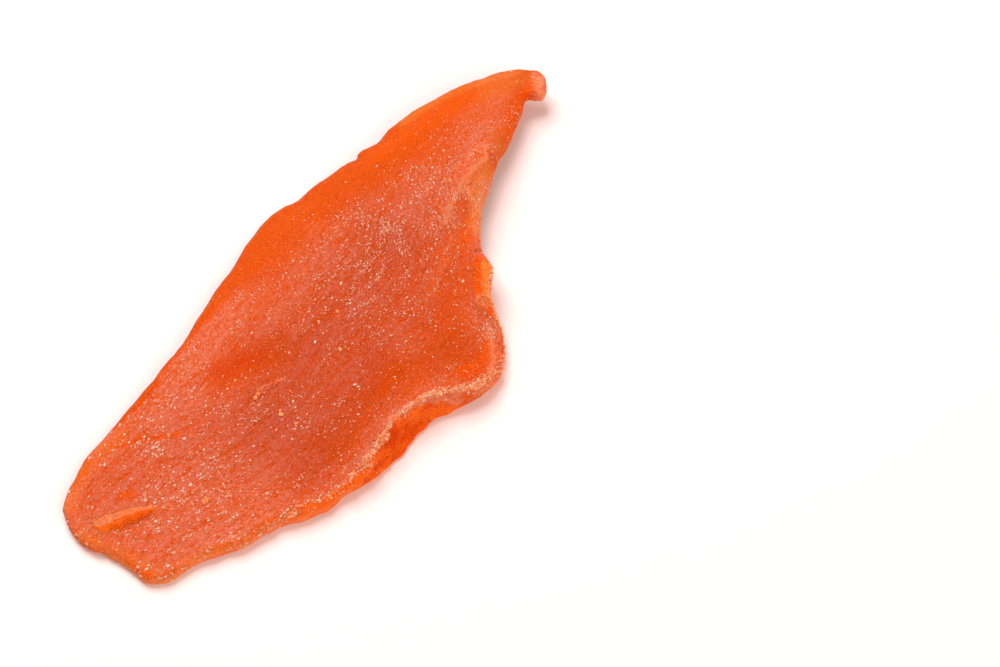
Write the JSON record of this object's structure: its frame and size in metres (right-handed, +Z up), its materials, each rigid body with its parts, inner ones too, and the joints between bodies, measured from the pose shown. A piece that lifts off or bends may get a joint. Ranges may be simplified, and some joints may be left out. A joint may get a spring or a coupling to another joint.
{
  "type": "dried mango slice",
  "caption": "Thin leathery slice of dried mango with a broad cut face, a raised torn lip, a curled ear and a hooked tip, lying flat with its cut face up.",
  "frame": {"origin": "on the table, under the middle of the slice's box", "axes": "+X along the length from the blunt end to the hooked tip, +Y towards the thin left margin, +Z up out of the broad cut face"},
  "size_m": [0.1154, 0.0504, 0.009],
  "materials": {
    "dried_mango": "satin"
  },
  "bodies": {
    "root": {"dried_mango_slice": "dried_mango"}
  },
  "joints": []
}
